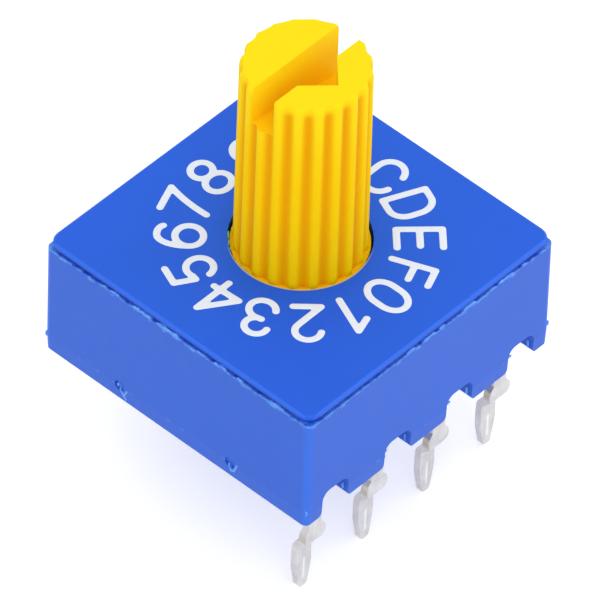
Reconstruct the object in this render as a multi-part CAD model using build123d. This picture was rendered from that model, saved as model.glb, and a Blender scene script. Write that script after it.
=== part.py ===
from build123d import *
from math import atan2, cos, degrees, hypot, radians, sin, tan
import os

# Rotary code switch, 10 mm square, 16 positions, with a long fluted shaft.
# Millimetres, +Z up. The origin is on the axis of the shaft, in the plane of the
# feet that seat on the circuit board. The terminals reach below it, through the board.
# The four code terminals are on the -Y side, which the 0 of the dial faces.

# Case: a square tub on four walls, with a floor that stands off the board
body_width = 10.0
case_corner_radius = 0.2
wall = 0.5
lip_height = 0.06
lip_top_width = 0.03
parting_height = 0.5
foot_draft = 3.0
standoff = 0.95
floor_thickness = 0.5
inner_corner_radius = 0.3
notch_width = 1.06
notch_height = 0.87
notch_radius = 0.3
tooth_radius = 0.15
gate_mark_radius = 0.18
gate_mark_depth = 0.07
gate_mark_spacing = 4.2

# Cover: the top plate, with a spigot inside the walls of the case
cover_inset = 0.02
cover_corner_radius = 0.45
cover_bevel = 0.07
cover_flange = 0.36
groove_height = 0.2
groove_depth = 0.14
spigot_depth = 0.57
spigot_clearance = 0.03
bore_radius = 2.04

# Rotor: fluted shaft, collar in the bore, toothed flange and hub, in one moulding
shaft_length = 6.78
collar_recess = 0.15
collar_clearance = 0.07
flute_count = 20
ridge_radius = 1.895
shaft_draft = 0.3
flute_depth = 0.13
shaft_edge_height = 0.24
shaft_edge_inset = 0.11
shaft_edge_steps = 2
slot_width = 0.78
slot_depth_shallow = 1.26
slot_depth_deep = 1.88
pointer_length = 0.8
flange_thickness = 0.7
flange_gap = 0.15
hub_radius = 1.0
positions = 16
detent_depth = 0.16
detent_radius = 0.42

# Pivot under the rotor: a post on the floor and a washer round it
pivot_radius = 0.62
pivot_clearance = 0.05
pivot_length = 1.45
pivot_bevel = 0.1
pivot_headroom = 0.15
washer_thickness = 0.15
washer_overhang = 0.15
washer_gap = 0.02

# Seal ring between the rotor and the cover
seal_section = 0.5
seal_clearance = 0.02

# Code disc under the flange: a common track, then one track for each bit
disc_thickness = 0.15
disc_margin = 0.05
track_count = 5
track_width = 0.32
track_edge = 0.15
window_margin = 2.0

# Terminals: flat strips on the 2.54 mm grid of the board
pin_pitch = 2.54
row_spacing = 7.62
terminal_thickness = 0.22
bend_radius = 0.19
pad_width = 0.8
pad_length = 0.75
stem_width = 0.5
shoulder_width = 0.86
shoulder_radius = 0.28
shoulder_gap = 0.2
shoulder_drop = 1.3
shoulder_height = 0.72
shoulder_slant = 0.22
neck_width = 0.46
kink_drop = 1.9
kink_height = 0.4
leaf_width = 0.6
leaf_radius = 1.5
leaf_taper = 0.85
tip_width = 0.28
tip_radius = 0.12
pin_length = 4.06

# Contact springs, one on the pad of each terminal
contact_room = 0.9
contact_thickness = 0.08
contact_width = 0.4
contact_slit = 0.08
contact_bend = 0.12
contact_gap = 0.02
weld_length = 0.3
tip_overrun = 0.22

# Detent springs, one against each side wall
spring_thickness = 0.12
spring_height = 0.6
spring_room = 0.95
spring_span = 6.4
spring_end = 1.0
nose_width = 1.0
nose_height = 0.4
nose_radius = 0.25
nose_gap = 0.03
ledge_depth = 0.5

# Sealing resin round the terminals, in troughs under the floor
trough_width = 0.6
trough_depth = 0.2

# Heights, radii and places that follow from the sizes above
floor_top = standoff + floor_thickness
disc_bottom = floor_top + contact_room
flange_bottom = disc_bottom + disc_thickness
flange_top = flange_bottom + flange_thickness
cover_underside = flange_top + flange_gap
seat_height = cover_underside + spigot_depth
cover_top = seat_height + cover_flange
shaft_top = cover_top + shaft_length
inner_width = body_width - 2 * wall
inner_wall = inner_width / 2
cover_width = body_width - 2 * cover_inset
cover_base_width = cover_width - 2 * groove_depth
cover_base_radius = cover_corner_radius - groove_depth
spigot_width = inner_width - 2 * spigot_clearance
collar_top = cover_top - collar_recess
collar_radius = bore_radius - collar_clearance
shaft_height = shaft_top - collar_top
ridge_radius_top = ridge_radius - shaft_height * tan(radians(shaft_draft))
flange_radius = inner_wall - spring_room
seal_radius = collar_radius + seal_clearance + seal_section
seal_bottom = flange_top + seal_clearance
seal_top = seal_bottom + seal_section
disc_radius = flange_radius - detent_depth - disc_margin
first_track_radius = hub_radius + track_edge + track_width / 2
last_track_radius = disc_radius - track_edge - track_width / 2
track_step = (last_track_radius - first_track_radius) / (track_count - 1)
washer_top = floor_top + washer_thickness
hub_bottom = washer_top + washer_gap
shoulder_y = inner_wall - shoulder_gap - terminal_thickness / 2
leaf_y = row_spacing / 2
pad_top = floor_top + terminal_thickness
spring_bottom = flange_bottom + (flange_thickness - spring_height) / 2
step_angle = 360 / positions

# Each terminal: its name, its place along X, its side, and the track and the angle
# at which its contact spring touches the code disc
terminals = [
    ("1", -1.5 * pin_pitch, -1, 4, -150),
    ("2", -0.5 * pin_pitch, -1, 2, -115),
    ("4", 0.5 * pin_pitch, -1, 1, -65),
    ("8", 1.5 * pin_pitch, -1, 3, -30),
    ("common", 0.0, 1, 0, 90),
]


def block(x0, x1, y0, y1, z0, z1):
    """Box between two corners."""
    size = (x1 - x0, y1 - y0, z1 - z0)
    return Pos(x0, y0, z0) * Box(*size, align=(Align.MIN, Align.MIN, Align.MIN))


def round_bar(radius, z0, z1):
    """Cylinder on the axis, from one height to another."""
    low = (Align.CENTER, Align.CENTER, Align.MIN)
    return Pos(0, 0, z0) * Cylinder(radius, z1 - z0, align=low)


def square_bar(width, radius, z0, z1):
    """Square prism on the axis, with rounded upright edges."""
    return Pos(0, 0, z0) * extrude(RectangleRounded(width, width, radius), z1 - z0)


def polar(radius, angle):
    """Point in plan, at an angle in degrees from +X."""
    return (radius * cos(radians(angle)), radius * sin(radians(angle)))


def strip_face(points, radius, thickness):
    """Edge view of a bent strip that follows a path."""
    path = FilletPolyline(*points, radius=radius)
    return make_face(Wire(path.edges()).offset_2d(thickness / 2, side=Side.BOTH).edges())


def opposite(solid, side):
    """The solid itself for side +1, and turned to the -Y side for side -1."""
    return solid if side > 0 else Rot(0, 0, 180) * solid


def terminal(x, side):
    """One flat terminal, from its pad on the floor down to its tip."""
    middle = [
        (shoulder_y - pad_length, floor_top + terminal_thickness / 2),
        (shoulder_y, floor_top + terminal_thickness / 2),
        (shoulder_y, -kink_drop),
        (leaf_y, -kink_drop - kink_height),
        (leaf_y, -pin_length),
    ]
    bent = extrude(Plane.YZ * strip_face(middle, bend_radius, terminal_thickness), shoulder_width)
    shoulder_bottom = -shoulder_drop - shoulder_height
    right = [
        (pad_width / 2, pad_top),
        (pad_width / 2, standoff),
        (stem_width / 2, standoff),
        (stem_width / 2, -shoulder_drop),
        (shoulder_width / 2, -shoulder_drop - shoulder_slant),
        (shoulder_width / 2, shoulder_bottom + shoulder_slant),
        (neck_width / 2, shoulder_bottom),
        (leaf_width / 2, (shoulder_bottom - pin_length + leaf_taper) / 2),
        (leaf_width / 2, leaf_taper - pin_length),
        (tip_width / 2, -pin_length),
    ]
    left = [(-px, pz) for px, pz in reversed(right)]
    outline = make_face(Polyline(*right, *left, close=True))
    outline = fillet(outline.vertices().sort_by(Axis.Y)[8:12], shoulder_radius)
    outline = fillet(outline.vertices().sort_by(Axis.Y)[2:6], leaf_radius)
    outline = fillet(outline.vertices().sort_by(Axis.Y)[:2], tip_radius)
    reach = body_width / 2
    front = Pos(0, reach, 0) * extrude(Plane.XZ * outline, reach)
    solid = (Pos(-shoulder_width / 2, 0, 0) * bent) & front
    return Pos(x, 0, 0) * opposite(solid, side)


def case():
    """Square tub with its floor, feet, pivot post and spring ledges."""
    rim = seat_height + lip_height
    plan = RectangleRounded(body_width, body_width, case_corner_radius)
    foot = extrude(plan, -parting_height, taper=foot_draft)
    body = square_bar(body_width, case_corner_radius, parting_height, rim)
    body += Pos(0, 0, parting_height) * foot
    body -= square_bar(inner_width, inner_corner_radius, floor_top, rim)
    body -= square_bar(inner_width, inner_corner_radius, 0, standoff)
    body -= cover_recess(rim)
    for _, x, side, _, _ in terminals:
        body -= notch(x, side)
    for side in (-1, 1):
        body -= trough(side)
        body -= gate_mark(side * gate_mark_spacing / 2)
        for end in (-1, 1):
            body += spring_ledge(side, end)
    post = round_bar(pivot_radius, floor_top, floor_top + pivot_length)
    body += chamfer(post.edges().group_by(Axis.Z)[-1], pivot_bevel)
    for _, x, side, _, _ in terminals:
        body -= terminal(x, side)
    return body


def cover_recess(rim):
    """Room for the cover inside the rim, widened to a groove at the top."""
    plan = RectangleRounded(cover_base_width, cover_base_width, cover_base_radius)
    mouth_width = body_width - 2 * lip_top_width
    mouth = RectangleRounded(mouth_width, mouth_width, case_corner_radius - lip_top_width)
    groove_bottom = seat_height + lip_height / 6
    groove = loft([Pos(0, 0, groove_bottom) * plan, Pos(0, 0, rim) * mouth])
    return square_bar(cover_base_width, cover_base_radius, seat_height, rim) + groove


def notch(x, side):
    """Opening in the foot of a wall, in front of one terminal."""
    below = Pos(0, -notch_height) * Rectangle(2 * notch_width, 2 * notch_height)
    profile = Rectangle(notch_width, 2 * notch_height) + below
    profile = fillet(profile.vertices().sort_by(Axis.Y)[-2:], notch_radius)
    feet = profile.vertices().filter_by_position(Axis.Y, -tooth_radius, tooth_radius)
    profile = fillet(feet.sort_by(Axis.X)[1:3], tooth_radius)
    reach = body_width / 2 + wall
    cut = Pos(0, reach, 0) * extrude(Plane.XZ * profile, 2.5 * wall)
    return Pos(x, 0, 0) * opposite(cut, side)


def trough(side):
    """Trough under the floor along one wall, which the resin fills."""
    half = inner_wall - inner_corner_radius
    body = block(-half, half, inner_wall - trough_width, inner_wall, standoff, standoff + trough_depth)
    return opposite(body, side)


def gate_mark(y):
    """Shallow round pit on the parting line of the -X wall."""
    pit = Cylinder(gate_mark_radius, 2 * gate_mark_depth, rotation=(0, 90, 0))
    return Pos(-body_width / 2, y, parting_height) * pit


def spring_ledge(side, end):
    """Step on a side wall that one end of a detent spring stands on."""
    y_out = spring_span / 2 + nose_gap
    y_in = spring_span / 2 - spring_end
    ledge = block(inner_wall - ledge_depth, inner_wall, y_in, y_out, floor_top, spring_bottom)
    return mirror_pair(ledge, side, end)


def mirror_pair(solid, side, end):
    """The solid on the +X or -X side, at its +Y or -Y end."""
    if side < 0:
        solid = mirror(solid, Plane.YZ)
    if end < 0:
        solid = mirror(solid, Plane.XZ)
    return solid


def resin(side):
    """Sealing resin that fills one trough round its terminals."""
    body = trough(side)
    for _, x, terminal_side, _, _ in terminals:
        if terminal_side == side:
            body -= terminal(x, side)
    return body


def cover():
    """Top plate over a groove, with its spigot, bore and the counterbore of the seal."""
    groove_top = seat_height + groove_height
    plate = square_bar(cover_width, cover_corner_radius, groove_top, cover_top)
    plate = chamfer(plate.edges().group_by(Axis.Z)[-1], cover_bevel)
    plate += square_bar(cover_base_width, cover_base_radius, seat_height, groove_top)
    plate += square_bar(spigot_width, inner_corner_radius, cover_underside, seat_height)
    plate -= round_bar(bore_radius, cover_underside, cover_top)
    plate -= round_bar(seal_radius, cover_underside, seal_top)
    return plate


def flute_profile(crest_radius, depth, z):
    """Section of the shaft: round ridges with round flutes between them."""
    groove_radius = crest_radius - depth
    flank_radius = (crest_radius + groove_radius) / 2
    pitch = 360 / flute_count
    edges = []
    for k in range(flute_count):
        crest = k * pitch
        start = polar(flank_radius, crest - pitch / 4)
        middle = polar(flank_radius, crest + pitch / 4)
        finish = polar(flank_radius, crest + 3 * pitch / 4)
        edges.append(ThreePointArc(start, polar(crest_radius, crest), middle))
        edges.append(ThreePointArc(middle, polar(groove_radius, crest + pitch / 2), finish))
    return Pos(0, 0, z) * make_face(edges)


def shaft():
    """Fluted shaft with its rounded top edge, screwdriver slot and pointer."""
    sections = [flute_profile(ridge_radius, flute_depth, collar_top)]
    for k in range(shaft_edge_steps + 1):
        turn = radians(90 * k / shaft_edge_steps)
        inset = shaft_edge_inset * (1 - cos(turn))
        z = shaft_top - shaft_edge_height * (1 - sin(turn))
        sections.append(flute_profile(ridge_radius_top - inset, flute_depth - inset, z))
    return loft(sections, ruled=True) - driver_slot()


def driver_slot():
    """Slot across the shaft, deeper at +X, with a pointer notch towards -Y."""
    half = slot_width / 2
    reach = 1.5 * ridge_radius_top
    pointer = [(-pointer_length, -half), (0, -half - pointer_length), (pointer_length, -half)]
    outline = [(-reach, half), (-reach, -half), *pointer, (reach, -half), (reach, half)]
    plan = make_face(Polyline(*outline, close=True))
    prism = Pos(0, 0, shaft_top - slot_depth_deep) * extrude(plan, slot_depth_deep)
    slope = (slot_depth_deep - slot_depth_shallow) / (2 * ridge_radius_top)
    middle_depth = (slot_depth_deep + slot_depth_shallow) / 2
    left = shaft_top - middle_depth + slope * reach
    right = shaft_top - middle_depth - slope * reach
    side = Polyline((-reach, shaft_top), (-reach, left), (reach, right), (reach, shaft_top), close=True)
    wedge = Pos(0, reach, 0) * extrude(Plane.XZ * make_face(side), 2 * reach)
    return prism & wedge


def rotor():
    """Shaft, collar, flange with its detent scallops, and hub, as one moulding."""
    body = shaft()
    body += round_bar(collar_radius, flange_top, collar_top)
    flange = round_bar(flange_radius, flange_bottom, flange_top)
    scallop_centre = flange_radius - detent_depth + detent_radius
    for k in range(positions):
        x, y = polar(scallop_centre, k * step_angle)
        flange -= Pos(x, y, 0) * round_bar(detent_radius, flange_bottom, flange_top)
    body += flange
    body += round_bar(hub_radius, hub_bottom, flange_bottom)
    pivot_top = floor_top + pivot_length + pivot_headroom
    body -= round_bar(pivot_radius + pivot_clearance, hub_bottom, pivot_top)
    return body


def ring_sector(inner, outer, start, span):
    """Part of a flat ring between two radii and two angles."""
    end = start + span
    return make_face(
        [
            CenterArc((0, 0), outer, start, span),
            Line(polar(outer, end), polar(inner, end)),
            CenterArc((0, 0), inner, start, span),
            Line(polar(inner, start), polar(outer, start)),
        ]
    )


def track_radius(track):
    """Middle radius of a track, counted from the common one."""
    return first_track_radius + track * track_step


def code_disc():
    """Stamped code disc, with windows where a bit is open."""
    body = round_bar(disc_radius, disc_bottom, flange_bottom)
    body -= round_bar(hub_radius, disc_bottom, flange_bottom)
    bits = [row for row in terminals if row[0] != "common"]
    for bit, (_, _, _, track, angle) in enumerate(bits):
        run = 2**bit
        inner = track_radius(track) - track_width / 2
        for first in range(0, positions, 2 * run):
            start = angle + (first - 0.5) * step_angle + window_margin
            span = run * step_angle - 2 * window_margin
            window = ring_sector(inner, inner + track_width, start, span)
            body -= Pos(0, 0, disc_bottom) * extrude(window, disc_thickness)
    return body


def contact(x, side, track, angle):
    """Leaf from the pad of a terminal up to the underside of the code disc."""
    anchor_y = side * (shoulder_y - pad_length / 2)
    tip_x, tip_y = polar(track_radius(track), angle)
    length = hypot(tip_x - x, tip_y - anchor_y)
    heading = degrees(atan2(tip_y - anchor_y, tip_x - x))
    pad = pad_top + contact_thickness / 2
    touch = disc_bottom - contact_gap - contact_thickness / 2
    middle = [
        (-weld_length, pad),
        (weld_length, pad),
        (length, touch),
        (length + tip_overrun, touch - tip_overrun),
    ]
    face = Plane.XZ * strip_face(middle, contact_bend, contact_thickness)
    leaf = Pos(0, contact_width / 2, 0) * extrude(face, contact_width)
    slit_start = length / 2
    slit = block(slit_start, 2 * length, -contact_slit / 2, contact_slit / 2, floor_top, disc_bottom)
    return Pos(x, anchor_y, 0) * Rot(0, 0, heading) * (leaf - slit)


def detent_spring(side):
    """Bowed leaf against a side wall, with its nose at the scallops of the flange."""
    wall_x = inner_wall - spring_thickness / 2
    half_angle = atan2(nose_width / 2, nose_height)
    nose_x = flange_radius + nose_gap + spring_thickness / 2
    corner_x = nose_x - nose_radius * (1 / sin(half_angle) - 1)
    lower = [
        (wall_x, -spring_span / 2),
        (wall_x, spring_end - spring_span / 2),
        (corner_x + nose_height, -nose_width / 2),
    ]
    upper = [(px, -py) for px, py in reversed(lower)]
    face = strip_face([*lower, (corner_x, 0), *upper], nose_radius, spring_thickness)
    spring = Pos(0, 0, spring_bottom) * extrude(face, spring_height)
    return mirror_pair(spring, side, 1)


def seal_ring():
    """Square-cut seal in the counterbore of the cover, round the collar."""
    ring = round_bar(seal_radius, seal_bottom, seal_top)
    return ring - round_bar(seal_radius - seal_section, seal_bottom, seal_top)


def washer():
    """Thrust washer round the pivot post, under the hub."""
    body = round_bar(hub_radius + washer_overhang, floor_top, washer_top)
    return body - round_bar(pivot_radius + pivot_clearance, floor_top, washer_top)


def build_parts():
    """Every node of the switch, by name."""
    parts = {
        "case": case(),
        "cover": cover(),
        "rotor": rotor(),
        "code_disc": code_disc(),
        "seal_ring": seal_ring(),
        "thrust_washer": washer(),
        "detent_spring_right": detent_spring(1),
        "detent_spring_left": detent_spring(-1),
        "resin_front": resin(-1),
        "resin_rear": resin(1),
    }
    for name, x, side, track, angle in terminals:
        parts["terminal_" + name] = terminal(x, side)
        parts["contact_" + name] = contact(x, side, track, angle)
    return parts


os.makedirs("parts", exist_ok=True)
for name, solid in build_parts().items():
    export_step(solid, "parts/" + name + ".step")
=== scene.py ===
"""Looks of a 16-position rotary code switch with a printed dial and a long fluted shaft."""

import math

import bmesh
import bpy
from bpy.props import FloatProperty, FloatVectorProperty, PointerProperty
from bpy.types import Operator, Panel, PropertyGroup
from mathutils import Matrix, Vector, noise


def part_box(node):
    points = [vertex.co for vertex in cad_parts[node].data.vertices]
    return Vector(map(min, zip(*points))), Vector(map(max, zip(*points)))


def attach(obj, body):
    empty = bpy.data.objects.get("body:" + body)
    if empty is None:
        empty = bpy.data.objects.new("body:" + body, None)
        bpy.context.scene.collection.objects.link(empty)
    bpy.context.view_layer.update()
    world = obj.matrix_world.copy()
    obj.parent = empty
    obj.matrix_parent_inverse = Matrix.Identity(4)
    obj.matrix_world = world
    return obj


bl_info = {
    "name": "Rotary Code Switch",
    "version": (1, 0, 0),
    "blender": (4, 5, 0),
    "location": "3D View > Sidebar > Switch",
    "description": "Materials, dial print and moulding details of a rotary code switch",
    "category": "Object",
}

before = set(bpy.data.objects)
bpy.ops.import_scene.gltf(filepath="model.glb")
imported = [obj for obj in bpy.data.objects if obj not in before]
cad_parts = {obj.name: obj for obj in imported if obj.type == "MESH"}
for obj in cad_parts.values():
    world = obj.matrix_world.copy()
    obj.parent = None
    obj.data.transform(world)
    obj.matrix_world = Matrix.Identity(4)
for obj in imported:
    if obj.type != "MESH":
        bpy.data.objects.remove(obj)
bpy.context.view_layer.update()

# Places that follow from the packed model, in metres
MM = 0.001
CASE_LOW, CASE_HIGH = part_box("case")
COVER_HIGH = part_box("cover")[1]
ROTOR_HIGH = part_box("rotor")[1]
PIN_TIP_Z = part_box("terminal_1")[0].z
TERMINALS = [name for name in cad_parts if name.startswith("terminal_")]
CONTACTS = [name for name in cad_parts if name.startswith("contact_")]


def srgb(red, green, blue):
    """Scene-linear colour from the 0 to 255 numbers of a colour picker."""
    channels = []
    for value in (red, green, blue):
        part = value / 255
        low = part <= 0.04045
        channels.append(part / 12.92 if low else ((part + 0.055) / 1.055) ** 2.4)
    return tuple(channels)


def length(name, description, millimetres):
    """Property for a length, in metres with its default in millimetres."""
    return FloatProperty(
        name=name, description=description, default=millimetres * MM, unit="LENGTH", precision=6
    )


def angle(name, description, degrees):
    """Property for an angle, with its default in degrees."""
    return FloatProperty(
        name=name, description=description, default=math.radians(degrees), subtype="ANGLE"
    )


def colour(name, description, *channels):
    """Property for a colour, with its default as the numbers of a colour picker."""
    return FloatVectorProperty(
        name=name,
        description=description,
        default=srgb(*channels),
        size=3,
        subtype="COLOR",
        min=0,
        max=1,
    )


def share(name, description, value):
    """Property for a plain share or factor."""
    return FloatProperty(name=name, description=description, default=value, min=0.0)


class HousingSettings(PropertyGroup):
    """Colours and finish of the case and the cover."""

    # The case's blue is painted paler than the cover's, a painted reflection of the white room on
    # its walls
    sheened_case_colour: colour("Case colour", "Colour of the moulded case", 39, 97, 213)
    cover_colour: colour("Cover colour", "Colour of the cover under the dial", 22, 92, 222)
    # A painted highlight on the cover's bevel and the case's upright corners, and the blue of
    # patches in torn plastic
    highlight_and_patch_colour: colour("Edge colour", "Lighter blue of bevels and corners", 62, 128, 252)
    # Painted shade down the side of the cover, in the groove under its bevel
    cover_side_shade_colour: colour("Joint colour", "Deeper blue down the side of the cover", 14, 66, 190)
    # Pale blue of torn plastic, also used as a painted highlight along the rim's top edge and on
    # the lumps beside the notches
    torn_and_highlight_colour: colour("Rubbed colour", "Pale blue of rubbed or torn edges", 108, 174, 250)
    # A painted highlight on the rim of the bore round the shaft
    bore_rim_highlight_colour: colour("Bore rim colour", "Pale rim of the bore round the shaft", 216, 196, 116)
    # Teal of the lumps set in the gap between the bore and the shaft
    bore_lump_colour: colour("Bore flash colour", "Bits of flash left in the bore", 120, 186, 160)
    roughness: share("Roughness", "Roughness of the moulded faces", 0.42)
    gloss: share("Gloss", "How strongly the moulded faces reflect", 0.25)
    parting_height: length("Parting height", "Height of the mould's parting line", 0.5)
    bore_radius: length("Bore radius", "Radius of the bore round the shaft", 2.04)


class ShaftSettings(PropertyGroup):
    """Colours and finish of the shaft."""

    # Painted highlight: the shaft is painted paler towards its top
    lit_top_colour: colour("Top colour", "Pale yellow of the top face", 255, 222, 24)
    ridge_colour: colour("Ridge colour", "Yellow of the ridges lower down", 255, 210, 8)
    # Painted shade in the flutes
    groove_shading_colour: colour("Groove colour", "Deeper yellow in the flutes", 240, 168, 0)
    # Painted shade down in the slot
    slot_shade_colour: colour("Slot colour", "Orange down in the slot", 255, 172, 0)
    slot_width: length("Slot width", "Width of the screwdriver slot", 0.78)
    slot_depth: length("Slot depth", "Depth of the screwdriver slot on the axis", 1.57)
    slot_slope: share("Slot slope", "How much deeper the slot gets along X", 0.167)
    ridge_radius: length("Ridge radius", "Radius over the ridges at the foot", 1.895)
    ridge_radius_top: length("Ridge radius at the top", "Radius over the ridges at the top", 1.859)
    flute_depth: length("Flute depth", "Depth of the flutes between the ridges", 0.13)
    roughness: share("Roughness", "Roughness of the shaft", 0.5)
    gloss: share("Gloss", "How strongly the shaft reflects", 0.03)


class MetalSettings(PropertyGroup):
    """Finish of the terminals, the contacts and the springs."""

    tin_colour: colour("Tin colour", "Colour of the tinned terminals", 228, 226, 226)
    cloud_colour: colour("Cloud colour", "Duller patches in the tin", 184, 182, 182)
    # A painted highlight along the coined groove of each leaf
    groove_shading_colour: colour("Groove colour", "Bright bottom of the coined groove", 255, 255, 255)
    # Bare brass of the cut edge, and painted shade on the terminal's left side
    brass_and_shade_colour: colour("Brass colour", "Bare brass beside the shoulder", 170, 162, 142)
    roughness: share("Roughness", "Roughness of the tinned faces", 0.38)
    gold_colour: colour("Gold colour", "Colour of the plated contacts", 222, 178, 96)
    gold_cloud: colour("Gold cloud", "Duller patches in the gold", 198, 156, 84)
    gold_roughness: share("Gold roughness", "Roughness of the plated contacts", 0.3)
    steel_colour: colour("Steel colour", "Colour of the detent springs", 168, 168, 170)
    steel_cloud: colour("Steel cloud", "Duller patches in the steel", 140, 140, 144)
    steel_roughness: share("Steel roughness", "Roughness of the detent springs", 0.32)


class SealSettings(PropertyGroup):
    """Finish of the seal, the washer and the resin."""

    seal_colour: colour("Seal colour", "Colour of the rubber seal", 28, 28, 30)
    seal_roughness: share("Seal roughness", "Roughness of the seal", 0.6)
    washer_colour: colour("Washer colour", "Colour of the washer", 230, 230, 222)
    washer_roughness: share("Washer roughness", "Roughness of the washer", 0.5)
    resin_colour: colour("Resin colour", "Colour of the sealing resin", 46, 50, 62)
    resin_roughness: share("Resin roughness", "Roughness of the resin", 0.3)
    gloss: share("Gloss", "How strongly these pieces reflect", 0.5)


class DialSettings(PropertyGroup):
    """Sizes and colour of the figures printed round the shaft."""

    ink_colour: colour("Ink colour", "Colour of the printed figures", 228, 238, 255)
    ring_radius: length("Ring radius", "From the axis to the middle of a figure", 3.344)
    figure_height: length("Figure height", "Height of a figure, with its stroke", 1.51)
    stroke: length("Stroke", "Width of the printed line", 0.21)
    ink_height: length("Ink height", "How far the ink stands above the cover", 0.012)
    shift_x: length("Shift along X", "How far the print is off the axis, along X", 0.033)
    shift_y: length("Shift along Y", "How far the print is off the axis, along Y", 0.046)


class CameraSettings(PropertyGroup):
    """Viewpoint of the photograph."""

    azimuth: angle("Azimuth", "Angle round the switch, 0 looking along +Y", -48.579)
    elevation: angle("Elevation", "Angle above the horizon", 46.03)
    roll: angle("Roll", "Turn about the line of sight", 2.08)
    distance: length("Distance", "From the aim point to the camera", 334.377)
    aim_height: length("Aim height", "Height of the aim point on the axis", 2.0)
    pan_right: length("Pan right", "Sideways shift of the camera", 0.045)
    pan_up: length("Pan up", "Upward shift of the camera", -0.169)
    lens: length("Lens", "Focal length on a 36 mm sensor", 719.874)


class StageSettings(PropertyGroup):
    """Floor, backdrop and lights."""

    floor_colour: colour("Floor colour", "Colour of the pale floor", 236, 236, 236)
    floor_glow: share("Floor glow", "How much whiter the floor looks than it is lit", 0.42)
    sky: share("Sky", "Strength of the even light all round", 0.93)
    key_power: share("Key power", "Power of the main softbox, in watts", 0.14)
    fill_power: share("Fill power", "Power of the second softbox, in watts", 0.06)


class Field:
    """A value on its way through a material. Arithmetic on it adds Math nodes."""

    def __init__(self, graph, socket):
        self.graph = graph
        self.socket = socket

    def __add__(self, other):
        return self.graph.maths("ADD", self, other)

    def __sub__(self, other):
        return self.graph.maths("SUBTRACT", self, other)

    def __rsub__(self, other):
        return self.graph.maths("SUBTRACT", other, self)

    def __mul__(self, other):
        return self.graph.maths("MULTIPLY", self, other)

    def __truediv__(self, other):
        return self.graph.maths("DIVIDE", self, other)

    def __pow__(self, other):
        return self.graph.maths("POWER", self, other)

    def __abs__(self):
        return self.graph.maths("ABSOLUTE", self)

    __radd__ = __add__
    __rmul__ = __mul__

    def larger(self, other):
        """The larger of this value and another."""
        return self.graph.maths("MAXIMUM", self, other)

    def smaller(self, other):
        """The smaller of this value and another."""
        return self.graph.maths("MINIMUM", self, other)

    def between(self, low, high):
        """0 below low, 1 above high and a smooth step from one to the other."""
        return self.graph.node(
            "ShaderNodeMapRange",
            {"interpolation_type": "SMOOTHSTEP"},
            {"Value": self, "From Min": low, "From Max": high},
        )

    def nearing(self, level, span):
        """0 to 1 on the way up to a level, over a span that is in millimetres short of it."""
        far, near = span
        return self.between(level - far * MM, level - near * MM)


class Graph:
    """The node tree of one material, or of the world."""

    def __init__(self, name, kind=bpy.data.materials):
        self.owner = kind.new(name)
        self.owner.use_nodes = True
        self.tree = self.owner.node_tree
        self.tree.nodes.clear()

    def node(self, kind, settings=None, values=None, output=0):
        """Adds one node, sets it up, fills its sockets and returns one of its outputs."""
        made = self.tree.nodes.new(kind)
        for name, value in (settings or {}).items():
            setattr(made, name, value)
        for name, value in (values or {}).items():
            socket = made.inputs[name]
            if isinstance(value, Field):
                self.tree.links.new(value.socket, socket)
            elif socket.type == "RGBA":
                socket.default_value = (*value, 1.0)
            else:
                socket.default_value = value
        return Field(self, made.outputs[output]) if made.outputs else None

    def maths(self, operation, first, second=0.0):
        """One Math node."""
        return self.node("ShaderNodeMath", {"operation": operation}, {0: first, 1: second})

    def place(self):
        """Position on the object, in metres."""
        return self.node("ShaderNodeTexCoord", output="Object")

    def axes(self):
        """The three parts of the position, in metres."""
        split = self.node("ShaderNodeSeparateXYZ", values={0: self.place()})
        return [Field(self, socket) for socket in split.socket.node.outputs]

    def stretched(self, x, y, z):
        """Position with each axis scaled, which stretches a pattern along the smaller ones."""
        return self.node("ShaderNodeMapping", values={"Vector": self.place(), "Scale": (x, y, z)})

    def noise(self, per_mm, detail=2.0, at=None):
        """Soft noise with about so many waves to the millimetre, from 0 to 1."""
        values = {"Vector": at or self.place(), "Scale": per_mm / MM, "Detail": detail}
        return self.node("ShaderNodeTexNoise", {"noise_dimensions": "3D"}, values)

    def mix(self, factor, first, second):
        """Colour between two others."""
        settings = {"data_type": "RGBA"}
        return self.node("ShaderNodeMix", settings, {0: factor, 6: first, 7: second}, 2)

    def uneven(self, start, *noises):
        """A start value plus noises, each with its share, waves to the millimetre and detail."""
        total = start
        for part, per_mm, detail in noises:
            total = total + part * self.noise(per_mm, detail)
        return total

    def tint(self, field, factor):
        """A colour made lighter or darker by a factor that changes over the surface."""
        return self.node(
            "ShaderNodeVectorMath", {"operation": "SCALE"}, {0: field, "Scale": factor}
        )

    def bump(self, height, depth):
        """Normal of a surface whose height field, 0 to 1, is so many millimetres deep."""
        return self.node("ShaderNodeBump", values={"Height": height, "Distance": depth * MM})

    def seen(self):
        """1 for what is seen straight, mirrored or through glass, and 0 for what only lights."""
        straight = self.node("ShaderNodeLightPath", output="Is Camera Ray")
        mirrored = self.node("ShaderNodeLightPath", output="Is Glossy Ray")
        through = self.node("ShaderNodeLightPath", output="Is Transmission Ray")
        return straight.larger(mirrored).larger(through)

    def surface(self, values):
        """Ends the material in a Principled surface with these socket values."""
        shader = self.node("ShaderNodeBsdfPrincipled", values=values)
        self.node("ShaderNodeOutputMaterial", values={"Surface": shader})
        return self.owner


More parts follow.
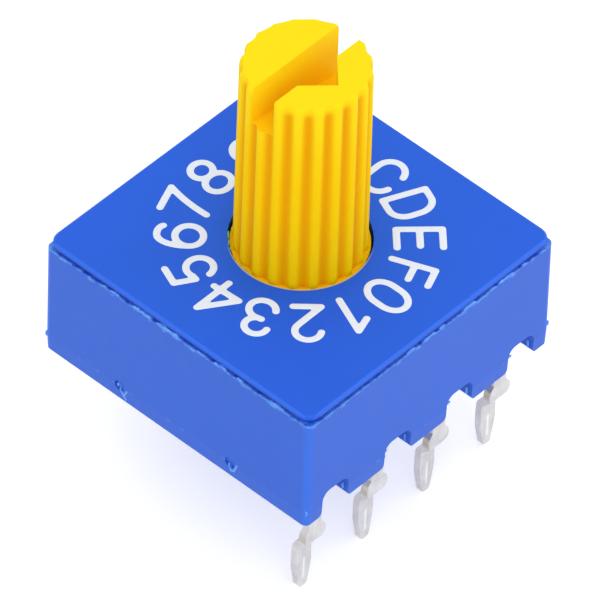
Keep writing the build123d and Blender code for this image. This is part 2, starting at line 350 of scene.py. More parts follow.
# How each material varies: a start value and its noises, as Graph.uneven takes them
PLASTIC_SHADE = (0.925, (0.09, 0.5, 3.0), (0.06, 7.0, 3.0))
PLASTIC_GRAIN = (0.0, (1.0, 22.0, 3.0), (0.5, 5.0, 2.0))
PLASTIC_SHEEN = (-0.05, (0.1, 2.0, 3.0))
SHAFT_SHADE = (0.95, (0.07, 0.9, 3.0), (0.04, 6.0, 2.0))
SHAFT_GRAIN = (0.0, (1.0, 16.0, 3.0), (0.6, 4.0, 2.0))
SHAFT_SHEEN = (-0.05, (0.1, 3.0, 2.0))
INK_SHADE = (0.95, (0.08, 7.0, 3.0))
INK_SHEEN = (0.45, (0.15, 7.0, 3.0))

# How deep the grain of each surface is, in millimetres
PLASTIC_RELIEF = 0.004
METAL_RELIEF = 0.006
INK_RELIEF = 0.003

# Noises that break up marks, as waves to the millimetre and detail
RAGGED_NOISE = (5.0, 4.0)
TORN_NOISE = (2.6, 4.0)
OWN_BLUE_NOISE = (4.0, 3.0)
INK_NOISE = (18.0, 2.0)
METAL_CLOUDS = (2.5, 3.0)
DRAWN_LINES = (1.0, 2.0)
DRAWN_UPRIGHT = (30.0, 30.0, 1.5)

# Spans of those noises over which a mark comes in
RIM_PATCHES = (0.35, 0.6)
TORN_PATCHES = (0.5, 0.62)
PARTING_PATCHES = (0.52, 0.66)
OWN_BLUE_PATCHES = (0.42, 0.62)

# How a metal's shade and roughness follow its noise, as a start value and a share
METAL_SHADE = (0.86, 0.26)
METAL_SHEEN = (-0.08, 0.2)
METALNESS = 0.85

# Spans over which marks come in or end, in millimetres short of a level, as Field.nearing
# takes them. A negative number is beyond the level. The level is an edge of the housing or
# the shaft, the middle of a line, or for the terminals their middle or the feet's plane.
# Painted highlight on the cover's bevel, and painted shade down its side
BEVEL_IN, BEVEL_UP = (0.085, 0.055), (0.09, 0.06)
COVER_SIDE_IN, COVER_SIDE_UP = (0.03, 0.01), (0.1, 0.07)
# Painted highlight on the bore's rim
BORE_RING_END, BORE_RING_UP = (-0.01, -0.05), (0.05, 0.0)
# Painted highlight on the upright corners of the case
CORNER_IN = (0.26, 0.08)
# Painted highlight along the rim's top edge
RIM_UP = (0.05, 0.02)
TORN_UP = (0.15, 0.08)
PARTING_HALF = (-0.01, -0.035)
SCAR_END = (-0.06, -0.1)
# Painted shade in the flutes and in the slot, and the shaft painted paler towards its top
FLUTES_END = (0.45, 0.1)
SLOT_LIGHTENS = (1.1, 0.1)
TOP_PALES = (3.2, 0.1)
SLOT_FLOOR_UP = (0.03, 0.01)
# Bare edge of a terminal, with painted shade on its left side
BARE_EDGE_END = (0.43, 0.33)
BARE_EDGE_FOOT, BARE_EDGE_TOP = (2.15, 1.95), (1.5, 1.3)
# Painted highlight along the coined groove
COINED_HALF = (0.0, -0.09)
COINED_FOOT, COINED_TOP = (3.8, 3.65), (3.0, 2.8)

# The painted highlight on the bore's rim is strongest on the side facing this way, and comes in
# over this span of facing it
RIM_FACES = (-0.75, -0.66)
RIM_FACING = (0.1, 0.7)
# Share of a streak's half width that is solid
STREAK_CORE = 0.3
# How fast the painted shade of a flute fades towards its ridges, and the span of depths, as shares
# of a flute's, beyond which the shaft's own colour comes back
FLUTE_FALLOFF = 1.6
FLUTE_BOTTOM = (1.1, 1.5)
# Half of the slot's width with and without its walls, as shares of the width
SLOT_SIDES = (0.5, 0.52)

# How strongly each mark covers what is under it, from 0 to 1
# The bevel, bore rim, corner, rim and coined shares are painted highlights; the cover side and slot
# shares are painted shade; the bare edge is partly painted shade
BEVEL_SHARE = 0.4
COVER_SIDE_SHARE = 0.75
BORE_RIM_SHARE = 0.9
CORNER_SHARE = 0.42
RIM_SHARE = 0.75
TORN_SHARE = 0.6
PARTING_SHARE = 0.4
SCAR_SHARE = 0.8
SLOT_SHARE = 0.25
BARE_EDGE_SHARE = 0.6
COINED_SHARE = 0.55
OWN_BLUE_SHARE = 0.7


def plastic(name, base, roughness, gloss, layers=()):
    """Satin moulded plastic: faint flow clouds and fine grain, under layers of marks."""
    graph = Graph(name)
    for layer, mask in layers:
        base = graph.mix(mask(graph), base, layer)
    return graph.surface({
        "Base Color": graph.tint(base, graph.uneven(*PLASTIC_SHADE)),
        "Roughness": roughness + graph.uneven(*PLASTIC_SHEEN),
        "Specular IOR Level": gloss,
        "Normal": graph.bump(graph.uneven(*PLASTIC_GRAIN), PLASTIC_RELIEF),
    })


def cover_bevel_highlight(graph):
    """Mask for a painted highlight on the bevel round the cover."""
    x, y, z = graph.axes()
    bevel = abs(x).larger(abs(y)).nearing(COVER_HIGH.x, BEVEL_IN)
    return BEVEL_SHARE * bevel * z.nearing(COVER_HIGH.z, BEVEL_UP)


def cover_side_shade(graph):
    """Mask for painted shade on the upright side of the cover, below its bevel."""
    x, y, z = graph.axes()
    side = abs(x).larger(abs(y)).nearing(COVER_HIGH.x, COVER_SIDE_IN)
    return COVER_SIDE_SHARE * side * (1 - z.nearing(COVER_HIGH.z, COVER_SIDE_UP))


def bore_rim_highlight(radius):
    """Mask for a painted highlight on the rim of the bore, clearest towards the corner of the -X
    and -Y walls.
    """

    def mask(graph):
        x, y, z = graph.axes()
        away = (x * x + y * y) ** 0.5
        ring = 1 - away.nearing(radius, BORE_RING_END)
        facing = ((RIM_FACES[0] * x + RIM_FACES[1] * y) / radius).between(*RIM_FACING)
        return BORE_RIM_SHARE * ring * facing * z.nearing(COVER_HIGH.z, BORE_RING_UP)

    return mask


def case_corner_highlight(graph):
    """Mask for a painted highlight on the upright corners of the case."""
    x, y, _ = graph.axes()
    return CORNER_SHARE * abs(x).smaller(abs(y)).nearing(CASE_HIGH.x, CORNER_IN)


def case_marks(parting):
    """Mask for a painted highlight along the rim's top edge, torn patches just below it, the
    mould's parting line and the scars of the gates.
    """

    def mask(graph):
        _, _, z = graph.axes()
        ragged, patches = graph.noise(*RAGGED_NOISE), graph.noise(*TORN_NOISE)
        # Painted highlight along the rim's top edge, in ragged patches
        rim = z.nearing(CASE_HIGH.z, RIM_UP) * ragged.between(*RIM_PATCHES)
        torn = z.nearing(CASE_HIGH.z, TORN_UP) * patches.between(*TORN_PATCHES)
        line = 1 - abs(z - parting).nearing(0.0, PARTING_HALF)
        line = line * ragged.between(*PARTING_PATCHES)
        marks = (RIM_SHARE * rim).larger(TORN_SHARE * torn).larger(PARTING_SHARE * line)
        return marks.larger(SCAR_SHARE * gate_scars(graph))

    return mask


# Streaks torn down the -X wall from the two gates: the ends of each, as y and z in
# millimetres, and half its width
GATE_STREAKS = [
    (2.18, 0.58, 2.03, 0.32, 0.055),
    (2.03, 0.32, 1.88, 0.12, 0.06),
    (1.81, 0.47, 1.96, 0.17, 0.04),
    (-2.06, 0.41, -2.15, 0.21, 0.05),
    (-2.15, 0.21, -2.26, 0.27, 0.055),
    (-2.26, 0.27, -2.37, 0.56, 0.045),
]


def gate_scars(graph):
    """1 on the streaks below the gates, 0 elsewhere."""
    x, y, z = graph.axes()
    scars = 0.0
    for y1, z1, y2, z2, half_width in GATE_STREAKS:
        run, rise = y2 - y1, z2 - z1
        across, up = y - y1 * MM, z - z1 * MM
        along = ((across * run + up * rise) / (run * run + rise * rise)).larger(0.0).smaller(MM)
        aside, above = across - along * run, up - along * rise
        away = (aside * aside + above * above) ** 0.5
        streak = 1 - away.between(STREAK_CORE * half_width * MM, half_width * MM)
        scars = streak.larger(scars)
    return scars * (1 - x.nearing(CASE_LOW.x, SCAR_END))


def torn_patches(graph):
    """Mask for patches where torn plastic keeps its own blue."""
    return OWN_BLUE_SHARE * graph.noise(*OWN_BLUE_NOISE).between(*OWN_BLUE_PATCHES)


def metal(name, base, cloud, roughness, layers=()):
    """Dull plated metal with fine drawn lines and cloudy patches, under layers of marks."""
    graph = Graph(name)
    lines = graph.noise(*DRAWN_LINES, graph.stretched(*DRAWN_UPRIGHT))
    clouds = graph.noise(*METAL_CLOUDS)
    shade = graph.mix(clouds, base, cloud)
    for layer, mask in layers:
        shade = graph.mix(mask(graph), shade, layer)
    return graph.surface({
        "Base Color": graph.tint(shade, METAL_SHADE[0] + METAL_SHADE[1] * lines),
        "Metallic": METALNESS,
        "Roughness": roughness + METAL_SHEEN[0] + METAL_SHEEN[1] * clouds,
        "Normal": graph.bump(lines + clouds, METAL_RELIEF),
    })


def cut_edge_and_shade(middle):
    """Mask for the bare edge beside the shoulder of the terminal whose middle is at this x,
    darkened also as painted shade on that shadowed left side.
    """

    def mask(graph):
        x, _, z = graph.axes()
        left = 1 - x.nearing(middle, BARE_EDGE_END)
        shoulder = z.nearing(0.0, BARE_EDGE_FOOT) * (1 - z.nearing(0.0, BARE_EDGE_TOP))
        return BARE_EDGE_SHARE * left * shoulder

    return mask


def coined_groove_highlight(middle):
    """Mask for a painted highlight along the groove coined down the leaf of the terminal whose
    middle is at this x.
    """

    def mask(graph):
        x, _, z = graph.axes()
        middle_line = 1 - abs(x - middle).nearing(0.0, COINED_HALF)
        leaf = z.nearing(0.0, COINED_FOOT) * (1 - z.nearing(0.0, COINED_TOP))
        return COINED_SHARE * middle_line * leaf

    return mask


def ink(name, base):
    """Screen-printed ink, slightly uneven in cover and gloss."""
    graph = Graph(name)
    return graph.surface({
        "Base Color": graph.tint(base, graph.uneven(*INK_SHADE)),
        "Roughness": graph.uneven(*INK_SHEEN),
        "Normal": graph.bump(graph.noise(*INK_NOISE), INK_RELIEF),
    })


def paint(node, material):
    """Gives a packed node its material."""
    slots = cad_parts[node].data.materials
    slots.clear()
    slots.append(material)


def one_skin(shape, voxel):
    """Joins overlapping closed shapes into one skin, without the surfaces inside it."""
    holder = bpy.data.objects.new("overlapping", bpy.data.meshes.new("overlapping"))
    shape.to_mesh(holder.data)
    shape.clear()
    bpy.context.scene.collection.objects.link(holder)
    remesh = holder.modifiers.new("join", "REMESH")
    remesh.mode = "VOXEL"
    remesh.voxel_size = voxel
    finished = holder.evaluated_get(bpy.context.evaluated_depsgraph_get())
    shape.from_mesh(bpy.data.meshes.new_from_object(finished))
    bpy.data.objects.remove(holder)


def new_piece(name, shape, material, body):
    """Turns a bmesh into a piece of the object that moves with a body."""
    mesh = bpy.data.meshes.new(name)
    shape.to_mesh(mesh)
    shape.free()
    mesh.shade_smooth()
    mesh.materials.append(material)
    piece = bpy.data.objects.new(name, mesh)
    bpy.context.scene.collection.objects.link(piece)
    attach(piece, body)
    return piece


def arc(x, y, rx, ry, start, end):
    """Points along part of an ellipse, between two angles in degrees."""
    step = 12
    count = max(2, round(abs(end - start) / step))
    turns = [math.radians(start + (end - start) * k / count) for k in range(count + 1)]
    return [(x + rx * math.cos(turn), y + ry * math.sin(turn)) for turn in turns]


def bow(start, pull, end):
    """Points along a bowed line, pulled towards a third point."""
    count = 8
    points = []
    for k in range(count + 1):
        t = k / count
        weights = ((1 - t) ** 2, 2 * t * (1 - t), t * t)
        ends = list(zip(weights, (start, pull, end)))
        points.append(tuple(sum(weight * at[axis] for weight, at in ends) for axis in (0, 1)))
    return points


# The figures as the middle line of each stroke, in a box of this height, centred on 0, 0.
# A stroke has round ends, and its points are joined in order.
FIGURE_BOX = 1.3
# Grain of the skin round the strokes, in the same units
INK_VOXEL = 0.025
# How far below its middle a stroke's tube is cut off, as a share of its width
INK_CUT = 0.2
# A stroke that turns by more than this, in radians, starts a new tube
SHARP_TURN = 0.3
SIX = [
    arc(0, -0.26, 0.395, 0.4, 0, 360),
    arc(0.06, 0.395, 0.36, 0.25, 12, 90) + arc(0.06, -0.26, 0.455, 0.905, 90, 180),
]
FIGURES = {
    "0": [arc(0, 0.14, 0.4, 0.51, 180, 0) + arc(0, -0.14, 0.4, 0.51, 0, -180) + [(-0.4, 0.14)]],
    "1": [[(-0.26, 0.3), (0.14, 0.64), (0.14, -0.64)]],
    "2": [arc(0, 0.305, 0.37, 0.345, 170, -42) + [(-0.39, -0.61), (0.38, -0.64)]],
    "3": [
        arc(-0.05, 0.34, 0.33, 0.31, 175, -80) + [(-0.1, 0.05)],
        arc(0, -0.31, 0.38, 0.345, 90, -170),
    ],
    "4": [[(0.21, -0.64), (0.21, 0.65), (-0.45, -0.33), (0.43, -0.28)]],
    "5": [
        [(0.33, 0.655), (-0.27, 0.65), (-0.37, 0.03)]
        + arc(0, -0.26, 0.37, 0.39, 125, -158),
    ],
    "6": SIX,
    "7": [[(-0.43, 0.65), (0.43, 0.64)], bow((0.43, 0.64), (0.02, 0.08), (-0.22, -0.65))],
    "8": [arc(0, 0.34, 0.33, 0.31, 0, 360), arc(0, -0.31, 0.4, 0.345, 0, 360)],
    "9": [[(-x, -y) for x, y in stroke] for stroke in SIX],
    "A": [[(-0.42, -0.65), (0, 0.65), (0.42, -0.65)], [(-0.28, -0.2), (0.28, -0.2)]],
    "B": [
        [(-0.36, -0.65), (-0.36, 0.65)] + arc(0.04, 0.345, 0.3, 0.305, 90, -90) + [(-0.36, 0.04)],
        arc(0.04, -0.305, 0.36, 0.345, 90, -90) + [(-0.36, -0.65)],
    ],
    "C": [arc(0.03, 0.2, 0.42, 0.45, 14, 180) + arc(0.03, -0.2, 0.42, 0.45, 180, 346)],
    "D": [
        [(-0.42, -0.65), (-0.38, 0.64)]
        + arc(0, 0.14, 0.42, 0.5, 90, 0)
        + arc(0, -0.15, 0.42, 0.5, 0, -90)
        + [(-0.42, -0.65)],
    ],
    "E": [[(0.36, 0.64), (-0.35, 0.64), (-0.35, -0.65), (0.36, -0.65)], [(-0.35, 0), (0.3, 0)]],
    "F": [[(0.32, 0.64), (-0.31, 0.64), (-0.31, -0.65)], [(-0.31, 0.04), (0.27, 0.04)]],
}

# How far each figure stands off its place on the ring, clockwise and outwards, in millimetres
FIGURE_SHIFTS = {
    "0": (0.02, -0.02), "1": (-0.1, -0.01), "2": (-0.09, 0.02), "3": (-0.03, 0.02),
    "4": (-0.06, 0.02), "5": (-0.03, -0.02), "6": (0.02, -0.01), "8": (-0.07, 0),
    "B": (0.07, 0), "C": (0.1, -0.01), "D": (0.1, -0.02), "E": (0.15, -0.02), "F": (0.2, -0.02),
}


def stroke_tubes(strokes, width):
    """Mesh of round tubes along strokes, with a ball at every corner and end, as one skin."""
    curve = bpy.data.curves.new("strokes", "CURVE")
    curve.dimensions = "3D"
    curve.bevel_depth = width / 2
    curve.bevel_resolution = 6
    curve.use_fill_caps = True
    runs = [run for stroke in strokes for run in smooth_runs(stroke)]
    for run in runs:
        spline = curve.splines.new("POLY")
        spline.points.add(len(run) - 1)
        for point, (x, y) in zip(spline.points, run):
            point.co = (x, y, 0, 1)
    holder = bpy.data.objects.new("strokes", curve)
    shape = bmesh.new()
    shape.from_mesh(bpy.data.meshes.new_from_object(holder))
    bpy.data.objects.remove(holder)
    for run in runs:
        for x, y in (run[0], run[-1]):
            bmesh.ops.create_uvsphere(
                shape,
                u_segments=32,
                v_segments=16,
                radius=width / 2,
                matrix=Matrix.Translation((x, y, 0)),
            )
    one_skin(shape, INK_VOXEL)
    return shape


def smooth_runs(stroke):
    """Parts of a stroke between its ends and the points where it turns sharply."""
    runs = [[stroke[0]]]
    for before, point, after in zip(stroke, stroke[1:], stroke[2:]):
        runs[-1].append(point)
        inward = Vector(point) - Vector(before)
        outward = Vector(after) - Vector(point)
        moves = inward.length > 0 and outward.length > 0
        if moves and inward.angle(outward) > SHARP_TURN:
            runs.append([point])
    runs[-1].append(stroke[-1])
    return runs


class SwitchOperator(Operator):
    """What the operators of this file share."""

    bl_options = {"REGISTER", "UNDO"}


class SWITCH_OT_finish_housing(SwitchOperator):
    """Gives the case and the cover their moulded blue plastic, with painted highlights and painted
    shade
    """

    bl_idname = "switch.finish_housing"
    bl_label = "Finish Housing"

    def execute(self, context):
        sizes = context.scene.switch_housing
        finish = (sizes.roughness, sizes.gloss)
        # The cover's bevel and the bore's rim get painted highlights, and the cover's side gets
        # painted shade
        rim = (sizes.bore_rim_highlight_colour, bore_rim_highlight(sizes.bore_radius))
        edges = [(sizes.highlight_and_patch_colour, cover_bevel_highlight), (sizes.cover_side_shade_colour, cover_side_shade)]
        cover = plastic("cover_plastic", sizes.cover_colour, *finish, [*edges, rim])
        marks = (sizes.torn_and_highlight_colour, case_marks(sizes.parting_height))
        # The upright corners of the case get a painted highlight
        corners = (sizes.highlight_and_patch_colour, case_corner_highlight)
        paint("cover", cover)
        paint("case", plastic("case_plastic", sizes.sheened_case_colour, *finish, [corners, marks]))
        return {"FINISHED"}


class SWITCH_OT_finish_shaft(SwitchOperator):
    """Gives the rotor its yellow plastic, with painted shade in the flutes and the slot and a
    painted highlight towards the top
    """

    bl_idname = "switch.finish_shaft"
    bl_label = "Finish Shaft"

    def execute(self, context):
        sizes = context.scene.switch_shaft
        graph = Graph("shaft_plastic")
        x, y, z = graph.axes()
        foot, top = COVER_HIGH.z, ROTOR_HIGH.z
        taper = (sizes.ridge_radius - sizes.ridge_radius_top) / (top - foot)
        below_ridge = (sizes.ridge_radius - taper * (z - foot)) - (x * x + y * y) ** 0.5
        above_floor = z - (top - sizes.slot_depth) + sizes.slot_slope * x
        across = abs(y) / sizes.slot_width
        in_slot = above_floor.nearing(0.0, SLOT_FLOOR_UP) * (1 - across.between(*SLOT_SIDES))
        # Painted shade in the flutes, deeper the further a point lies below the ridges
        depth = below_ridge / sizes.flute_depth
        flute = depth.larger(0.0).smaller(1.0) ** FLUTE_FALLOFF
        flute = flute * (1 - depth.between(*FLUTE_BOTTOM))
        flute = flute * (1 - z.nearing(top, FLUTES_END)) * (1 - in_slot)
        # Painted shade down in the slot, fading towards the top
        slot_shade = SLOT_SHARE * in_slot * (1 - z.nearing(top, SLOT_LIGHTENS))
        # Painted highlight: the shaft gets paler towards its top
        base = graph.mix(z.nearing(top, TOP_PALES), sizes.ridge_colour, sizes.lit_top_colour)
        base = graph.mix(flute, base, sizes.groove_shading_colour)
        base = graph.mix(slot_shade, base, sizes.slot_shade_colour)
        material = graph.surface({
            "Base Color": graph.tint(base, graph.uneven(*SHAFT_SHADE)),
            "Roughness": sizes.roughness + graph.uneven(*SHAFT_SHEEN),
            "Specular IOR Level": sizes.gloss,
            "Normal": graph.bump(graph.uneven(*SHAFT_GRAIN), PLASTIC_RELIEF),
        })
        paint("rotor", material)
        return {"FINISHED"}


class SWITCH_OT_finish_metal(SwitchOperator):
    """Gives the terminals, the contacts, the code disc and the springs their metal"""

    bl_idname = "switch.finish_metal"
    bl_label = "Finish Metal"

    def execute(self, context):
        sizes = context.scene.switch_metal
        for name in TERMINALS:
            low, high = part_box(name)
            middle = (low.x + high.x) / 2
            # The bare edge is partly painted shade, and the coined groove gets a painted highlight
            bare = (sizes.brass_and_shade_colour, cut_edge_and_shade(middle))
            groove = (sizes.groove_shading_colour, coined_groove_highlight(middle))
            colours = (sizes.tin_colour, sizes.cloud_colour, sizes.roughness)
            paint(name, metal("tinned_" + name, *colours, [groove, bare]))
        gold = metal("gold_plate", sizes.gold_colour, sizes.gold_cloud, sizes.gold_roughness)
        steel = metal(
            "spring_steel", sizes.steel_colour, sizes.steel_cloud, sizes.steel_roughness
        )
        for name in [*CONTACTS, "code_disc"]:
            paint(name, gold)
        for name in ("detent_spring_right", "detent_spring_left"):
            paint(name, steel)
        return {"FINISHED"}


class SWITCH_OT_finish_soft_parts(SwitchOperator):
    """Gives the seal, the washer and the sealing resin their materials"""

    bl_idname = "switch.finish_soft_parts"
    bl_label = "Finish Seal, Washer and Resin"

    def execute(self, context):
        sizes = context.scene.switch_seals
        resin = (sizes.resin_colour, sizes.resin_roughness)
        looks = {
            "seal_ring": ("seal_rubber", sizes.seal_colour, sizes.seal_roughness),
            "thrust_washer": ("washer_plastic", sizes.washer_colour, sizes.washer_roughness),
            "resin_front": ("sealing_resin", *resin),
            "resin_rear": ("sealing_resin_rear", *resin),
        }
        for node, look in looks.items():
            paint(node, plastic(*look, sizes.gloss))
        return {"FINISHED"}


# Flash squeezed out of the joint under the cover, wall by wall: where a spell of it is
# strongest, how far it reaches each way along the wall, and its strength. The walls are
# turned from -X by quarter turns, and a place counts towards the next wall.
FLASH_SPELLS = {
    0: [
        (-4.83, 0.06, 0.6), (-2.77, 0.07, 0.8), (-2.38, 0.2, 0.8), (-1.35, 0.42, 1.0),
        (-0.3, 0.55, 0.95), (0.9, 0.2, 0.5), (1.62, 0.26, 1.0), (2.35, 0.14, 0.75),
        (3.72, 0.34, 0.7),
    ],
    1: [
        (-0.86, 0.2, 1.0), (-0.12, 0.3, 0.8), (0.42, 0.13, 1.0), (1.53, 0.3, 1.0), (2.5, 0.16, 0.5),
        (3.02, 0.36, 0.85), (3.78, 0.1, 0.7),
    ],
    2: [(-2.6, 0.4, 0.7), (0.7, 0.25, 0.9), (1.2, 0.2, 0.6), (3.4, 0.3, 0.6)],
    3: [(-3.1, 0.3, 0.6), (-0.4, 0.5, 0.8), (2.2, 0.2, 0.9)],
}

# Small torn bits of plastic, and lumps that paint highlights: place and half size, in millimetres.
# Eight gate stubs on the -X wall come first, then nubs on three corners, pale lumps beside the
# notches that paint the highlight on the teeth's rounded edges, and burrs over them.
TORN_BITS_AND_HIGHLIGHT_LUMPS = [
    ((-4.983, 2.16, 0.5), (0.016, 0.05, 0.09)),
    ((-4.978, 2.08, 0.36), (0.016, 0.035, 0.1)),
    ((-4.972, 1.96, 0.2), (0.016, 0.045, 0.1)),
    ((-4.968, 1.88, 0.07), (0.014, 0.05, 0.06)),
    ((-4.985, 1.86, 0.47), (0.014, 0.045, 0.05)),
    ((-4.982, -2.07, 0.38), (0.016, 0.035, 0.1)),
    ((-4.978, -2.25, 0.31), (0.016, 0.07, 0.05)),
    ((-4.985, -2.36, 0.5), (0.013, 0.05, 0.06)),
    ((-4.915, -4.915, 0.53), (0.06, 0.06, 0.17)),
    ((-4.955, 4.955, 0.52), (0.04, 0.04, 0.14)),
    ((4.955, -4.955, 0.74), (0.042, 0.042, 0.13)),
    ((-3.3, -4.8, 0.3), (0.035, 0.05, 0.19)),
    ((-0.76, -4.8, 0.3), (0.035, 0.045, 0.18)),
    ((1.78, -4.8, 0.28), (0.035, 0.05, 0.2)),
    ((4.32, -4.81, 0.28), (0.035, 0.05, 0.19)),
    ((-1.76, -4.95, 0.6), (0.13, 0.035, 0.05)),
    ((-1.8, -4.96, 0.42), (0.07, 0.03, 0.06)),
    ((0.82, -4.95, 0.6), (0.14, 0.035, 0.055)),
    ((0.76, -4.96, 0.74), (0.08, 0.03, 0.05)),
    ((3.36, -4.95, 0.55), (0.14, 0.035, 0.05)),
    ((3.3, -4.96, 0.72), (0.08, 0.03, 0.06)),
]

# Teal lumps in the gap between the bore and the shaft, as angle round the axis in degrees, half
# width and half height
BORE_BITS = [
    (131, 0.2, 0.04), (139, 0.16, 0.06), (146, 0.06, 0.04), (175, 0.17, 0.05), (167, 0.06, 0.02),
]

# How far their middle stands off the bore's wall, and half their depth, in millimetres
BORE_BIT_INSET = 0.035
BORE_BIT_DEPTH = 0.04

# Sizes of the strip of flash, in metres
FLASH_END_GAP = 0.2 * MM
FLASH_WIDTH = 0.13 * MM
FLASH_HEIGHT = 0.095 * MM
FLASH_THICKNESS = 0.04 * MM
FLASH_INSET = 0.003 * MM
FLASH_SINK = 0.055 * MM
FLASH_TILT = 0.05 * MM
# Waves to the millimetre of its coarse and its fine teeth, and waves over half its width
COARSE_TEETH = 5
FINE_TEETH = 11
TEETH_ACROSS = 1.2
# Shares of the height that are even and that the teeth add or take away
FLASH_BODY = 0.8
FLASH_TEETH = 0.45
# How steeply a spell of flash rises from its ends
SPELL_RISE = 2.5


def flash_strip(spells, seed, rim):
    """Low ragged ridge along the -X edge of the case, standing out where a spell is."""
    long = 2 * (CASE_HIGH.x - FLASH_END_GAP)
    shape = bmesh.new()
    bmesh.ops.create_grid(shape, x_segments=8, y_segments=300, size=0.5)
    for vert in shape.verts:
        across, along = vert.co.x * 2, vert.co.y * long
        place = along / MM
        fine = noise.noise((place * FINE_TEETH, across * TEETH_ACROSS, seed))
        coarse = noise.noise((place * COARSE_TEETH, 0, seed))
        strength = 0.0
        for middle, reach, most in spells:
            nearness = 1 - abs(place + middle) / reach
            strength = max(strength, most * min(1.0, SPELL_RISE * nearness))
        height = FLASH_BODY + FLASH_TEETH * (fine + coarse)
        ridge = strength * height * (1 - across**4)
        x = -CASE_HIGH.x + FLASH_INSET + FLASH_WIDTH * (0.5 + 0.5 * across)
        slope = FLASH_TILT * (0.5 - 0.5 * across)
        vert.co = (x, along, rim - FLASH_SINK + slope + FLASH_HEIGHT * ridge)
    raised = bmesh.ops.extrude_face_region(shape, geom=shape.faces[:])
    lower = [part for part in raised["geom"] if isinstance(part, bmesh.types.BMVert)]
    bmesh.ops.translate(shape, verts=lower, vec=(0, 0, -FLASH_THICKNESS))
    bmesh.ops.recalc_face_normals(shape, faces=shape.faces[:])
    return shape


# How a torn bit varies from a ball: its even share, its uneven share, the waves over its
# radius, and how far the place shifts the waves, so that no two bits are the same
BIT_EVEN = 0.8
BIT_UNEVEN = 0.35
BIT_WAVES = 1.7
BIT_SHIFT = 5


def add_bit(shape, place, half_size, turn=0.0):
    """Adds a small uneven lump, with its place and half size in millimetres."""
    ball = bmesh.ops.create_icosphere(shape, subdivisions=3, radius=1.0)
    spot = Vector(place)
    for vert in ball["verts"]:
        push = BIT_EVEN + BIT_UNEVEN * noise.noise(vert.co * BIT_WAVES + spot * BIT_SHIFT)
        stretched = Vector([push * half * part for half, part in zip(half_size, vert.co)])
        vert.co = (Matrix.Rotation(turn, 3, "Z") @ stretched + spot) * MM


class SWITCH_OT_add_flash(SwitchOperator):
    """Adds the weld flash under the cover, the bits left by the mould, lumps that paint highlights
    beside the notches, and teal lumps in the bore
    """

    bl_idname = "switch.add_flash"
    bl_label = "Add Flash"

    def execute(self, context):
        sizes = context.scene.switch_housing
        finish = (sizes.roughness, sizes.gloss)
        patches = (sizes.highlight_and_patch_colour, torn_patches)
        # Pale blue for the torn flash and bits, and for the lumps that paint a highlight beside the
        # notches
        torn = plastic("torn_plastic_and_highlights", sizes.torn_and_highlight_colour, *finish, [patches])
        for turns, spells in FLASH_SPELLS.items():
            shape = flash_strip(spells, turns, CASE_HIGH.z)
            shape.transform(Matrix.Rotation(turns * math.pi / 2, 4, "Z"))
            new_piece("joint_flash_" + str(turns), shape, torn, "case")
        shape = bmesh.new()
        for place, half_size in TORN_BITS_AND_HIGHLIGHT_LUMPS:
            add_bit(shape, place, half_size)
        new_piece("mould_burrs_and_highlight_lumps", shape, torn, "case")
        shape = bmesh.new()
        for degrees, half_width, half_height in BORE_BITS:
            turn = math.radians(degrees)
            away = sizes.bore_radius / MM - BORE_BIT_INSET
            low = COVER_HIGH.z / MM - half_height
            spot = (away * math.cos(turn), away * math.sin(turn), low)
            add_bit(shape, spot, (BORE_BIT_DEPTH, half_width, half_height), turn)
        # Teal lumps in the gap between the bore and the shaft
        flash = plastic("bore_lump_plastic", sizes.bore_lump_colour, *finish)
        new_piece("bore_lumps", shape, flash, "case")
        return {"FINISHED"}


class SWITCH_OT_print_dial(SwitchOperator):
    """Prints the sixteen figures round the shaft"""

    bl_idname = "switch.print_dial"
    bl_label = "Print Dial"

    def execute(self, context):
        sizes = context.scene.switch_dial
        material = ink("dial_ink", sizes.ink_colour)
        scale = (sizes.figure_height - sizes.stroke) / FIGURE_BOX
        step = 2 * math.pi / len(FIGURES)
        for index, (name, strokes) in enumerate(FIGURES.items()):
            shape = stroke_tubes(strokes, sizes.stroke / scale)
            bmesh.ops.bisect_plane(
                shape,
                geom=shape.verts[:] + shape.edges[:] + shape.faces[:],
                plane_co=(0, 0, -INK_CUT * sizes.stroke / scale),
                plane_no=(0, 0, -1),
                clear_outer=True,
            )
            bmesh.ops.holes_fill(shape, edges=shape.edges[:], sides=0)
            low_scale = 2 * sizes.ink_height / sizes.stroke * scale
            flatten = Matrix.Diagonal((scale, scale, low_scale, 1))
            aside, outwards = FIGURE_SHIFTS.get(name, (0, 0))
            out = Matrix.Translation((aside * MM, sizes.ring_radius + outwards * MM, 0))
            turn = Matrix.Rotation(math.pi - index * step, 4, "Z")
            spot = Matrix.Translation((sizes.shift_x, sizes.shift_y, COVER_HIGH.z))
            shape.transform(spot @ turn @ out @ flatten)
            new_piece("figure_" + name, shape, material, "case")
        return {"FINISHED"}


# Place and size of each softbox, and half the size of the floor, in metres
KEY_BOX = ((-0.13, -0.16, 0.2), 0.16)
FILL_BOX = ((0.2, -0.1, 0.12), 0.2)
FLOOR_REACH = 2.0


class SWITCH_OT_set_stage(SwitchOperator):
    """Sets up the floor, the even white light, the softboxes and the camera"""

    bl_idname = "switch.set_stage"
    bl_label = "Set Stage"

    def execute(self, context):
        scene = context.scene
        sizes = scene.switch_stage
        scene.view_settings.view_transform = "Standard"
        add_floor(sizes)
        light_world(scene, sizes)
        add_softbox("key_light", *KEY_BOX, sizes.key_power)
        add_softbox("fill_light", *FILL_BOX, sizes.fill_power)
        scene.camera = add_camera(scene.switch_camera)
        return {"FINISHED"}


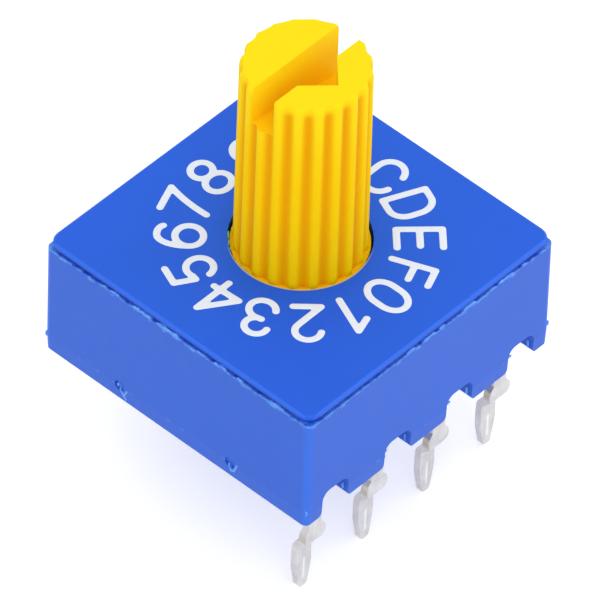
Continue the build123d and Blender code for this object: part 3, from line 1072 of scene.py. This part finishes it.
def add_floor(sizes):
    """Wide pale floor at the tips of the terminals, white where the camera sees it lit."""
    shape = bmesh.new()
    bmesh.ops.create_grid(shape, x_segments=8, y_segments=8, size=FLOOR_REACH)
    mesh = bpy.data.meshes.new("floor")
    shape.to_mesh(mesh)
    shape.free()
    floor = bpy.data.objects.new("floor", mesh)
    floor.location.z = PIN_TIP_Z
    bpy.context.scene.collection.objects.link(floor)
    graph = Graph("floor_paper")
    paper = graph.node("ShaderNodeBsdfDiffuse", values={"Color": sizes.floor_colour})
    white_glow = {"Color": (1, 1, 1), "Strength": sizes.floor_glow}
    glow = graph.node("ShaderNodeEmission", values=white_glow)
    lit = graph.node("ShaderNodeAddShader", values={0: paper, 1: glow})
    mixed = graph.node("ShaderNodeMixShader", values={0: graph.seen(), 1: paper, 2: lit})
    graph.node("ShaderNodeOutputMaterial", values={"Surface": mixed})
    mesh.materials.append(graph.owner)


def light_world(scene, sizes):
    """White backdrop for the camera and for reflections, and even light elsewhere."""
    graph = Graph("white_room", bpy.data.worlds)
    strength = sizes.sky + (1 - sizes.sky) * graph.seen()
    even_white = {"Color": (1, 1, 1), "Strength": strength}
    background = graph.node("ShaderNodeBackground", values=even_white)
    graph.node("ShaderNodeOutputWorld", values={"Surface": background})
    scene.world = graph.owner


def add_softbox(name, place, size, power):
    """Square softbox aimed at the switch."""
    light = bpy.data.lights.new(name, "AREA")
    light.size = size
    light.energy = power
    lamp = bpy.data.objects.new(name, light)
    lamp.location = place
    lamp.rotation_euler = Vector(place).to_track_quat("Z", "Y").to_euler()
    bpy.context.scene.collection.objects.link(lamp)


def add_camera(sizes):
    """Camera at the photograph's viewpoint."""
    around, above = sizes.azimuth, sizes.elevation
    flat = Vector((math.sin(around), -math.cos(around), 0)) * math.cos(above)
    back = flat + Vector((0, 0, math.sin(above)))
    level = Vector((0, 0, 1)).cross(back).normalized()
    upright = back.cross(level)
    right = level * math.cos(sizes.roll) + upright * math.sin(sizes.roll)
    up = upright * math.cos(sizes.roll) - level * math.sin(sizes.roll)
    aim = Vector((0, 0, sizes.aim_height))
    place = aim + back * sizes.distance + right * sizes.pan_right + up * sizes.pan_up
    data = bpy.data.cameras.new("camera")
    data.sensor_width = 36.0
    data.lens = sizes.lens / MM
    data.clip_start = 0.01
    camera = bpy.data.objects.new("camera", data)
    turn = Matrix((right, up, back)).transposed().to_4x4()
    camera.matrix_world = Matrix.Translation(place) @ turn
    bpy.context.scene.collection.objects.link(camera)
    return camera


STEPS = [
    SWITCH_OT_finish_housing,
    SWITCH_OT_finish_shaft,
    SWITCH_OT_finish_metal,
    SWITCH_OT_finish_soft_parts,
    SWITCH_OT_add_flash,
    SWITCH_OT_print_dial,
    SWITCH_OT_set_stage,
]
SETTINGS = {
    "switch_housing": HousingSettings,
    "switch_shaft": ShaftSettings,
    "switch_metal": MetalSettings,
    "switch_seals": SealSettings,
    "switch_dial": DialSettings,
    "switch_camera": CameraSettings,
    "switch_stage": StageSettings,
}


class SWITCH_PT_panel(Panel):
    """Lists the steps and their settings in the sidebar of the 3D view"""

    bl_idname = "SWITCH_PT_panel"
    bl_label = "Rotary Code Switch"
    bl_space_type = "VIEW_3D"
    bl_region_type = "UI"
    bl_category = "Switch"

    def draw(self, context):
        layout = self.layout
        for step in STEPS:
            layout.operator(step.bl_idname)
        for name, group in SETTINGS.items():
            box = layout.box()
            box.label(text=group.__doc__)
            for field in group.__annotations__:
                box.prop(getattr(context.scene, name), field)


CLASSES = [*SETTINGS.values(), *STEPS, SWITCH_PT_panel]


def register():
    """Adds the settings, the operators and the panel to Blender."""
    for cls in CLASSES:
        bpy.utils.register_class(cls)
    for name, group in SETTINGS.items():
        setattr(bpy.types.Scene, name, PointerProperty(type=group))


def unregister():
    """Takes them out again."""
    for name in SETTINGS:
        delattr(bpy.types.Scene, name)
    for cls in reversed(CLASSES):
        bpy.utils.unregister_class(cls)


def main():
    """Builds the looks step by step."""
    register()
    bpy.ops.switch.finish_housing()
    bpy.ops.switch.finish_shaft()
    bpy.ops.switch.finish_metal()
    bpy.ops.switch.finish_soft_parts()
    bpy.ops.switch.add_flash()
    bpy.ops.switch.print_dial()
    bpy.ops.switch.set_stage()


if __name__ == "__main__":
    main()
